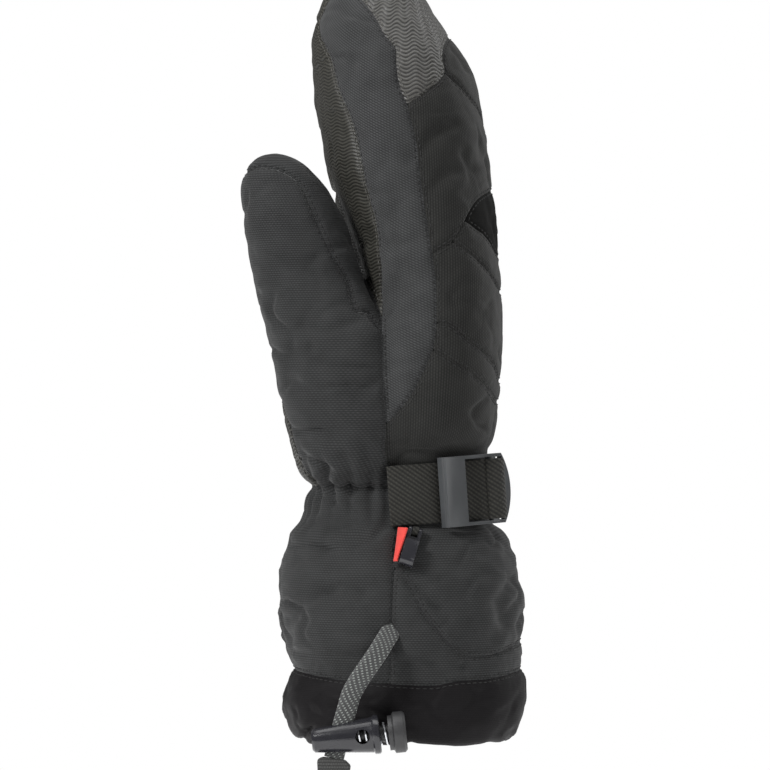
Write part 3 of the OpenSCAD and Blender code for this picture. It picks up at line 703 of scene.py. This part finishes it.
def relax(verts, tris, weight, rounds):
    """Moves each vertex towards its neighbours' middle, by its weight"""
    pairs = np.vstack([tris[:, [0, 1]], tris[:, [1, 2]], tris[:, [2, 0]]])
    a = np.concatenate([pairs[:, 0], pairs[:, 1]])
    b = np.concatenate([pairs[:, 1], pairs[:, 0]])
    count = np.bincount(a, minlength=len(verts))[:, None]
    for _ in range(rounds):
        total = np.column_stack([np.bincount(a, verts[b, k], len(verts)) for k in range(3)])
        verts = verts + (total / np.maximum(count, 1) - verts) * weight[:, None]
    return verts


def distance_to(parts, points):
    """How far each point is from a surface, given as its vertices and faces"""
    verts, faces = parts
    tree = BVHTree.FromPolygons(verts.tolist(), faces)
    return np.array([tree.find_nearest(Vector(p))[3] for p in points])


def build_body():
    """The whole outer surface: hand and thumb joined, with a softened crease between them.
    Returns its vertices, its triangles and how far each vertex is from being on the thumb"""
    hand = bag_mesh(HAND_ROWS, HAND_TIP)
    thumb = bag_mesh(THUMB_ROWS, THUMB_TIP)
    verts, tris = remeshed([hand, thumb], VOXEL)
    on_thumb, on_hand = distance_to(thumb, verts), distance_to(hand, verts)
    crease = np.exp(-(((on_thumb + on_hand) / 5) ** 2)) * (verts[:, 2] > WRIST_Z)
    verts = relax(verts, tris, np.full(len(verts), 0.5), 3)
    verts = relax(verts, tris, 0.5 * crease, 12)
    return verts, tris, on_thumb - on_hand


BODY_VERTS, BODY_TRIS, THUMBNESS = build_body()
BODY_NORMALS = vertex_normals(BODY_VERTS, BODY_TRIS)


def panel_fields():
    """For each panel, how far each vertex of the body is outside it"""
    x, y, z = BODY_VERTS.T
    field = lambda *names: depth_outside(outline(*names), x, z)
    left = field((-FAR, 340), "tip", "palm", "centre", (-5, 80), (-FAR, 80))
    front_patch = np.maximum.reduce(
        [left, y - THUMB_PATCH_Y, z - THUMB_PATCH_TOP, THUMB_PATCH_X - x])
    thumb = np.minimum(np.maximum(THUMBNESS, left), front_patch)
    thumb = np.maximum(thumb, WRIST_Z - z)
    hand = {
        "palm_panel": field((-FAR, 326), "tip", "palm", "centre", (-FAR, WRIST_Z)),
        "fingertip_wrap": field("-tip", (FAR, 326), "-wrap_back", "-wrap_foot", "-wrap_edge"),
        "upper_back_panel": field("wrap_back", "-crown"),
        "finger_back_panel": field("wrap_foot", "crown", "-chevron_top", "-chevron_mid",
                                   "-chevron_foot", "-back_top"),
        "triangle_inlay": field("chevron_top", "-inlay_foot"),
        "knuckle_panel": field("chevron_mid", "inlay_foot", "-knuckle"),
        "mid_back_panel": field("chevron_foot", "knuckle", "-strip_top", "-back_mid"),
        "back_strip": field("strip_top", "-strip_foot", "-back_strip"),
        "wrist_back_panel": field("strip_foot", (FAR, WRIST_Z), "-centre", "-back_foot"),
    }
    side = field("palm", "-back_foot", "-back_strip", "-back_mid", "-back_top", "-wrap_edge")
    hand["thumb_side_panel"] = np.maximum(side, y)
    hand["pinky_side_panel"] = np.maximum(side, -y)
    fields = {name: np.maximum(f, -thumb) for name, f in hand.items()}
    fields["thumb_gusset"] = np.maximum(thumb, field("thumb", (FAR, 250), (-FAR, 250)))
    fields["thumb_panel"] = np.maximum(thumb, field("thumb", (FAR, WRIST_Z), "-heel"))
    fields["palm_heel_panel"] = np.maximum(thumb, field("heel", (-FAR, WRIST_Z)))
    fields["gauntlet_palm_panel"] = field("cuff", "cuff_foot", "-hem_palm", (-FAR, WRIST_Z))
    fields["gauntlet_back_panel"] = field("cuff", "cuff_curve", (FAR, WRIST_Z))
    fields["lower_cuff_panel"] = field("cuff_curve", "-hem_back", "-cuff_foot")
    fields["hem_band"] = np.maximum(
        field("hem_palm", "hem_back", (FAR, HEM_FOOT_Z), (-FAR, HEM_FOOT_Z)), HEM_ROLL - z)
    return fields


def clipped(columns, tris, field):
    """The part of a triangle mesh where field is below 0. columns holds each vertex's values.
    Returns the kept rows, their triangles and which of them are on the cut"""
    below = field < 0
    count = below[tris].sum(axis=1)
    whole = tris[count == 3]
    cut_faces, keys, ends, starts = [], {}, [], len(columns)

    def cut(a, b):
        key = (a, b) if a < b else (b, a)
        if key not in keys:
            keys[key] = starts + len(ends)
            ends.append(key)
        return keys[key]

    for tri in tris[(count == 1) | (count == 2)].tolist():
        flags = [bool(below[i]) for i in tri]
        odd = flags.index(sum(flags) == 1)
        a, b, c = tri[odd], tri[(odd + 1) % 3], tri[(odd + 2) % 3]
        ab, ac = cut(a, b), cut(a, c)
        if flags[odd]:
            cut_faces.append((a, ab, ac))
        else:
            cut_faces += [(ab, b, c), (ab, c, ac)]
    if ends:
        e = np.array(ends)
        t = (field[e[:, 0]] / (field[e[:, 0]] - field[e[:, 1]]))[:, None]
        columns = np.vstack([columns, columns[e[:, 0]] * (1 - t) + columns[e[:, 1]] * t])
    faces = np.vstack([whole, np.array(cut_faces, int).reshape(-1, 3)])
    used = np.unique(faces)
    index = np.zeros(len(columns), int)
    index[used] = np.arange(len(used))
    return columns[used], index[faces], used >= starts


BODY_COLUMNS = np.hstack([BODY_VERTS, BODY_NORMALS])
PANELS = {name: clipped(BODY_COLUMNS, BODY_TRIS, field) for name, field in panel_fields().items()}


# ---- Padding out, wrinkles and stitches on the panels ----

SEAM_DEPTH, SEAM_HALF = 0.55, 1.2
STITCH_IN, STITCH_PITCH, STITCH_LENGTH, STITCH_R = 1.2, 2.7, 2.1, 0.26
SHELL_THICK = 1.0
DEEPEST_FOLD = 2.0
PALM_PAD, PALM_PAD_Z = 7, 203
SLIT_X, SLIT_Z = -6.3, 44.6
GATHER_PITCH = 9
# Folds pressed into the thumb's side of the cuff: points (x, z), depth and half width
CREASES = [
    ([(-2.5, 72), (5.3, 63), (14, 55)], 2.6, 2.8),
    ([(-17.6, 60.3), (-25.8, 63.3), (-34.2, 60.3), (-42.6, 54.5), (-46.7, 48), (-47.6, 39.4)], 2.3, 2.8),
    ([(43.5, 65), (37, 57), (41, 46)], 1.7, 3),
    ([(-47, 35.5), (-34, 35.5), (-17.6, 35), (-7, 34)], 1.0, 1.3),
    ([(-7, 34), (8, 33), (22, 31), (44, 33)], 0.8, 1.5),
    ([(3, 236), (12, 246), (20, 250)], 1.6, 3),
    ([(8, 222), (18, 231), (28, 232)], 1.3, 3),
    ([(-20, 170), (-32, 166), (-42, 168)], 1.2, 2.5),
    ([(-12, 118), (-24, 124), (-38, 121)], 1.3, 2.5),
]


def line_distance(points, x, z):
    """Distance in (x, z) from each place to an open line"""
    p = np.array(points, float)
    nearest = np.full(len(x), np.inf)
    for a, b in zip(p[:-1], p[1:]):
        nearest = np.minimum(nearest, segment_distance(a, b - a, x, z))
    return nearest


def build_seam_tree():
    points = np.vstack([c[on, :3] for n, (c, _, on) in PANELS.items()])
    points = points[points[:, 2] > 4]
    tree = KDTree(len(points))
    for i, p in enumerate(points):
        tree.insert(Vector(p), i)
    tree.balance()
    return tree


SEAM_TREE = build_seam_tree()


def wrist_dip(z):
    """How much deeper every layer lies where the shell is gathered at the wrist"""
    return 3.6 * np.exp(-(((z - WRIST_Z) / 14) ** 2))


def creases(p, scale, width, seed):
    """Thin valleys along the level lines of a smooth noise, fading in and out; 0 to 1"""
    valley = np.exp(-((fractal(p, scale, seed, 2) / width) ** 2))
    return valley * np.clip(0.35 + 1.6 * fractal(p, (30, 30, 30), seed + 1, 2), 0, 1)


def relief(p, seam, puff):
    """How far each point stands out from the plain surface"""
    x, y, z = p.T
    out = puff * (1 - np.exp(-seam / 7)) - SEAM_DEPTH * np.exp(-((seam / SEAM_HALF) ** 2))
    out -= 0.2 * np.exp(-(((seam - STITCH_IN) / 0.55) ** 2))
    out += 0.45 * fractal(p, (7, 7, 7), 1, 2) * np.exp(-seam / 5)
    free = 1 - np.exp(-seam / 6)
    out += 0.8 * fractal(p, (34, 34, 20), 2) * free
    folds = 1 - 2 * np.abs(fractal(p, (30, 30, 13), 3, 2))
    out += 0.8 * folds * free * np.clip((130 - z) / 50, 0.4, 1)
    out -= 2.0 * creases(p, (44, 44, 24), 0.11, 5) * free
    near_free = 1 - np.exp(-seam / 3)
    out -= 1.2 * creases(p, (20, 20, 13), 0.16, 8) * near_free * np.clip((185 - z) / 60, 0.35, 1)
    palm_side = np.clip((-3 - x) / 6, 0, 1)
    angle = np.arctan2(y, x + 3)
    ripple = angle * HAND_RADIUS * math.pi / GATHER_PITCH + 1.6 * fractal(p, (25, 25, 30), 4, 2)
    gather = 2 * np.abs(np.cos(ripple)) - 1
    above = z - WRIST_Z
    out += palm_side * (1.3 * gather * np.exp(-((above / 13) ** 2)) - 1.2 * np.exp(-((above / 3.5) ** 2)))
    for points, depth, half in CREASES:
        valley = np.exp(-((line_distance(points, x, z) / half) ** 2))
        out -= (y < 0) * depth * valley * near_free
    pad = (np.exp(-(((z - PALM_PAD_Z) / 21) ** 2))
           * np.clip((y + 3) / 14, 0, 1) * np.clip((-6 - x) / 6, 0, 1))
    out += PALM_PAD * pad * (z > WRIST_Z)
    slit = np.hypot(x - SLIT_X, (z - SLIT_Z) * 0.8)
    out -= (y < 0) * 1.3 * np.exp(-((slit / 3.5) ** 2))
    return np.maximum(out, -DEEPEST_FOLD - wrist_dip(z))


def around_coordinates(p, tris, thumb):
    """The cloth coordinates of each face corner: the distance round the hand or thumb, and the height"""
    middle, radius = ((-38, -19), 27) if thumb else ((-2, 0), HAND_RADIUS)
    w = np.arctan2(p[:, 1] - middle[1], p[:, 0] - middle[0])[tris]
    w = np.where((w.max(axis=1) - w.min(axis=1) > math.pi)[:, None] & (w < 0), w + 2 * math.pi, w)
    return np.column_stack([w.ravel() * radius, p[tris.ravel(), 2]])


def level_lines(p, tris, field, level):
    """The lines on a mesh where field has the given level. Each is the edges it crosses and how far
    along each edge it does so"""
    f = field - level
    side = f > 0
    mixed = tris[(side[tris].sum(axis=1) % 3) != 0]
    links = {}
    for tri in mixed.tolist():
        cuts = []
        for a, b in ((tri[0], tri[1]), (tri[1], tri[2]), (tri[2], tri[0])):
            if side[a] != side[b]:
                cuts.append((min(a, b), max(a, b)))
        links.setdefault(cuts[0], []).append(cuts[1])
        links.setdefault(cuts[1], []).append(cuts[0])
    done, lines = set(), []
    starts = [k for k in links if len(links[k]) == 1] + list(links)
    for start in starts:
        if start in done:
            continue
        line, at = [], start
        while at is not None:
            done.add(at)
            line.append(at)
            at = next((k for k in links[at] if k not in done), None)
        if len(line) > 4:
            lines.append(line)
    out = []
    for line in lines:
        e = np.array(line)
        t = (f[e[:, 0]] / (f[e[:, 0]] - f[e[:, 1]]))[:, None]
        out.append((e, t))
    return out


def stitches_on(p, normals, tris, seam):
    """Stitches along a line inside the panel's edge, as (start, end, normal)"""
    out = []
    for e, t in level_lines(p, tris, seam, STITCH_IN):
        line = p[e[:, 0]] * (1 - t) + p[e[:, 1]] * t
        n = normals[e[:, 0]] * (1 - t) + normals[e[:, 1]] * t
        s = np.concatenate([[0], np.cumsum(np.linalg.norm(np.diff(line, axis=0), axis=1))])
        if s[-1] < 8:
            continue
        count = int(s[-1] / STITCH_PITCH)
        at = (np.arange(count) + 0.2) * s[-1] / count
        pick = lambda q, values: np.column_stack([np.interp(q, s, values[:, k]) for k in range(3)])
        out += list(zip(pick(at, line), pick(at + STITCH_LENGTH, line), pick(at + STITCH_LENGTH / 2, n)))
    return out


def stitch_mesh(name, stitches, material):
    """All the given stitches as one mesh of short rounded threads that dip in at their ends"""
    sides = 6
    rings = [(0.12, 0.75, -0.02), (0.5, 1.0, 0.14), (0.88, 0.75, -0.02)]
    verts, faces = [], []
    for a, b, n in stitches:
        n = n / np.linalg.norm(n)
        d = (b - a) / max(np.linalg.norm(b - a), 1e-6)
        side = np.cross(n, d)
        start = len(verts)
        verts.append(a - n * 0.3)
        for t, r, lift in rings:
            for k in range(sides):
                w = 2 * math.pi * k / sides
                verts.append(a + (b - a) * t + n * (lift + STITCH_R * r * math.sin(w))
                             + side * STITCH_R * r * math.cos(w))
        verts.append(b - n * 0.3)
        for k in range(sides):
            k2 = (k + 1) % sides
            faces.append((start, start + 1 + k2, start + 1 + k))
            for ring in range(len(rings) - 1):
                low = start + 1 + ring * sides
                faces.append((low + k, low + k2, low + sides + k2, low + sides + k))
            low = start + 1 + (len(rings) - 1) * sides
            faces.append((low + k, low + k2, low + sides))
    obj = new_object(name, np.array(verts), faces, material)
    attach(obj, "mitten")
    return obj


# Each panel's material, its slot in the record, and how far its padding stands out
PANEL_LOOKS = {
    "thumb_side_panel": ("side", "shell_nylon", 1.1), "pinky_side_panel": ("side", "shell_nylon", 1.1),
    "palm_panel": ("palm", "palm_pu", 0.9), "palm_heel_panel": ("palm", "palm_pu", 0.6),
    "fingertip_wrap": ("wrap", "fingertip_pu", 0.6), "upper_back_panel": ("back", "back_nylon", 0.5),
    "finger_back_panel": ("back", "back_nylon", 0.6), "triangle_inlay": ("inlay", "inlay_fabric", 0.4),
    "knuckle_panel": ("back", "back_nylon", 0.5), "mid_back_panel": ("back", "back_nylon", 0.6),
    "back_strip": ("back", "back_nylon", 0.5), "wrist_back_panel": ("back", "back_nylon", 0.8),
    "thumb_panel": ("shell", "shell_nylon", 1.1), "thumb_gusset": ("shell", "back_nylon", 0.9),
    "gauntlet_palm_panel": ("shell", "shell_nylon", 1.4),
    "gauntlet_back_panel": ("shell", "shell_nylon", 1.4),
    "lower_cuff_panel": ("shell", "shell_nylon", 1.2), "hem_band": ("hem", "hem_satin", 0.9),
}
LIGHT_STITCHED = {"palm_panel", "fingertip_wrap"}


def hem_sweep():
    """The hem from its seam, over a round foot and up inside: a ring of points at each step"""
    around, inner_top, wall = 300, 22, 2 * HEM_ROLL
    heights = np.arange(31, HEM_ROLL, -1.2)
    profile = [(z, 0.0, 0) for z in heights]
    profile += [(HEM_ROLL - HEM_ROLL * math.sin(w), HEM_ROLL - HEM_ROLL * math.cos(w), 1)
                for w in np.linspace(0, math.pi, 10)]
    profile += [(z, wall, 1) for z in np.arange(HEM_ROLL + 1.2, inner_top, 1.2)]
    table = smooth_line([[HEM_FOOT_Z, *HAND_ROWS[0][1:]], *HAND_ROWS[:8]], 0.5)
    cx, cy = squared_circle(around)
    verts, kept = [], []
    for z, inset, inside in profile:
        x1, x2, y1, y2 = [np.interp(z, table[:, 0], table[:, k]) for k in range(1, 5)]
        verts.append(np.column_stack([(x1 + x2) / 2 + ((x2 - x1) / 2 - inset) * cx,
                                      (y1 + y2) / 2 + ((y2 - y1) / 2 - inset) * cy, np.full(around, z)]))
        kept += [inside] * around
    verts = np.vstack(verts)
    tris = []
    for i in range(len(profile) - 1):
        for k in range(around):
            a, b = i * around + k, i * around + (k + 1) % around
            tris += [(a, a + around, b + around), (a, b + around, b)]
    tris = np.array(tris)
    band = outline("hem_palm", "hem_back", (FAR, HEM_FOOT_Z), (-FAR, HEM_FOOT_Z))
    outside = depth_outside(band, verts[:, 0], verts[:, 2])
    field = np.where(np.array(kept) > 0, -1.0, outside)
    return clipped(np.hstack([verts, vertex_normals(verts, tris)]), tris, field)


PANELS["hem_band"] = hem_sweep()


def build_panels():
    dark, light = [], []
    for name, (columns, tris, _) in PANELS.items():
        look, slot, puff = PANEL_LOOKS[name]
        p, n = columns[:, :3], columns[:, 3:6]
        n = n / np.linalg.norm(n, axis=1, keepdims=True)
        seam = np.array([SEAM_TREE.find(Vector(v))[2] for v in p])
        shaped = p + n * relief(p, seam, puff)[:, None]
        obj = new_object(name + "_cloth", shaped, tris, MATERIALS[look])
        if len(obj.data.polygons) != len(tris):
            raise RuntimeError(name + " lost faces when it was made")
        set_cloth_coordinates(obj, around_coordinates(
            p, tris, name.startswith("thumb_p") or name == "thumb_gusset"))
        if name != "hem_band":
            thick = obj.modifiers.new("thickness", "SOLIDIFY")
            thick.thickness = SHELL_THICK * MM
            thick.offset = -1
        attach(obj, "mitten")
        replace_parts(obj, name)
        (light if name in LIGHT_STITCHED else dark).extend(stitches_on(shaped, n, tris, seam))
    stitch_mesh("dark_stitching", dark, MATERIALS["dark_thread"])
    stitch_mesh("light_stitching", light, MATERIALS["light_thread"])


build_panels()


# ---- Layers inside the shell ----


def inner_layer(name, nodes, material, inset, thickness, z_low, z_high, wrinkle=0.0):
    """A layer that follows the mitten's inside: inset is a number, or a function of height"""
    depth = lambda z: (inset(z) if callable(inset) else inset) + wrist_dip(z)
    parts = []
    for rows, tip in ((HAND_ROWS, HAND_TIP), (THUMB_ROWS, THUMB_TIP)):
        moved = [[z, a + depth(z), b - depth(z), c + depth(z), d - depth(z)] if b - a > 2 * depth(z) + 2
                 else None for z, a, b, c, d in rows]
        moved = [r for r in moved if r]
        top = moved[-1]
        end = [tip[0] - depth(tip[0]), *[(top[1] + top[2]) / 2] * 2, *[(top[3] + top[4]) / 2] * 2]
        moved = [r for r in moved if r[0] < end[0] - 3]
        if z_high > 150 or rows is HAND_ROWS:
            parts.append(bag_mesh(moved, end))
    verts, tris = remeshed(parts, 2.6)
    verts = relax(verts, tris, np.full(len(verts), 0.5), 4)
    normals = vertex_normals(verts, tris)
    if wrinkle:
        verts = verts - normals * (wrinkle * (0.5 + 0.5 * fractal(verts, (18, 18, 30), 7, 2)))[:, None]
    field = np.maximum(z_low - verts[:, 2], verts[:, 2] - z_high)
    columns, tris, _ = clipped(verts, tris, field)
    obj = new_object(name, columns, tris, material)
    set_cloth_coordinates(obj, around_coordinates(columns, tris, False))
    thick = obj.modifiers.new("thickness", "SOLIDIFY")
    thick.thickness = thickness * MM
    thick.offset = -1
    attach(obj, "mitten")
    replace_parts(obj, *nodes)


def lining_depth(z):
    """The lining lies deeper in the hand than in the gauntlet, where the padding is thinner"""
    t = min(max((z - 92) / 20, 0), 1)
    return 5.2 + 3.4 * t * t * (3 - 2 * t)


inner_layer("waterproof_layer", ["waterproof_insert"], MATERIALS["film"], 3.3, 0.3, 53, 330)
inner_layer("hand_wadding", ["hand_padding", "thumb_padding"], MATERIALS["padding"],
            3.9, 4.5, 106, 330)
inner_layer("gauntlet_wadding", ["gauntlet_padding"], MATERIALS["padding"],
            3.9, 1.2, 53, 95)
inner_layer("soft_lining", ["hand_lining", "thumb_lining", "gauntlet_lining"],
            MATERIALS["lining"], lining_depth, 0.8, 21, 330, wrinkle=0.8)

for hidden, look in (("wrist_elastic", "elastic"), ("channel_cord", "elastic"), ("lock_spring", "steel")):
    NODES[hidden].data.materials.clear()
    NODES[hidden].data.materials.append(MATERIALS[look])


# ---- Stage: a pale floor, soft lights and a white room ----

FLOOR_Z, FLOOR_RADIUS = -75, 700


def floor():
    """A round floor; it hides the mitten only from below"""
    rings, around = 12, 96
    verts = [(0, 0, FLOOR_Z)]
    for i in range(1, rings + 1):
        r = FLOOR_RADIUS * i / rings
        verts += [(r * math.cos(w), r * math.sin(w), FLOOR_Z)
                  for w in np.linspace(0, 2 * math.pi, around, endpoint=False)]
    faces = [(0, 1 + k, 1 + (k + 1) % around) for k in range(around)]
    for i in range(rings - 1):
        a = 1 + i * around
        faces += [(a + k, a + around + k, a + around + (k + 1) % around, a + (k + 1) % around)
                  for k in range(around)]
    s = Shader("pale_floor", 0.9, Emission_Color=(1, 1, 1, 1), Emission_Strength=0.5)
    s.colours(s.noise(400, 2), (0.86, 0.86, 0.86), (0.90, 0.90, 0.90))
    new_object("floor", np.array(verts, float), faces, s.material)


def light(name, place, aim, size, power):
    data = bpy.data.lights.new(name, "AREA")
    data.shape = "RECTANGLE"
    data.size, data.size_y = size[0] * MM, size[1] * MM
    data.energy = power
    obj = bpy.data.objects.new(name, data)
    bpy.context.scene.collection.objects.link(obj)
    obj.location = Vector(place) * MM
    obj.rotation_euler = (Vector(aim) - Vector(place)).to_track_quat("-Z", "Y").to_euler()


floor()
light("key", (-1150, -850, 1050), (0, 0, 160), (450, 450), 36)
light("fill", (900, -900, 350), (0, 0, 140), (900, 1200), 6.5)
light("rim", (650, 420, 700), (0, 0, 180), (500, 1000), 4)
light("top", (0, -100, 1300), (0, 0, 150), (1000, 1000), 10)

ROOM_LIGHT = 0.21


def white_room():
    """The room looks white, and lights the mitten only a little"""
    world = bpy.data.worlds.new("studio")
    world.use_nodes = True
    nodes, links = world.node_tree.nodes, world.node_tree.links
    seen = nodes.new("ShaderNodeLightPath").outputs["Is Camera Ray"]
    strength = nodes.new("ShaderNodeMapRange")
    strength.inputs["To Min"].default_value = ROOM_LIGHT
    strength.inputs["To Max"].default_value = 1
    links.new(seen, strength.inputs["Value"])
    links.new(strength.outputs["Result"], nodes["Background"].inputs["Strength"])
    nodes["Background"].inputs["Color"].default_value = (1, 1, 1, 1)
    bpy.context.scene.world = world


white_room()
bpy.context.scene.view_settings.view_transform = "Standard"
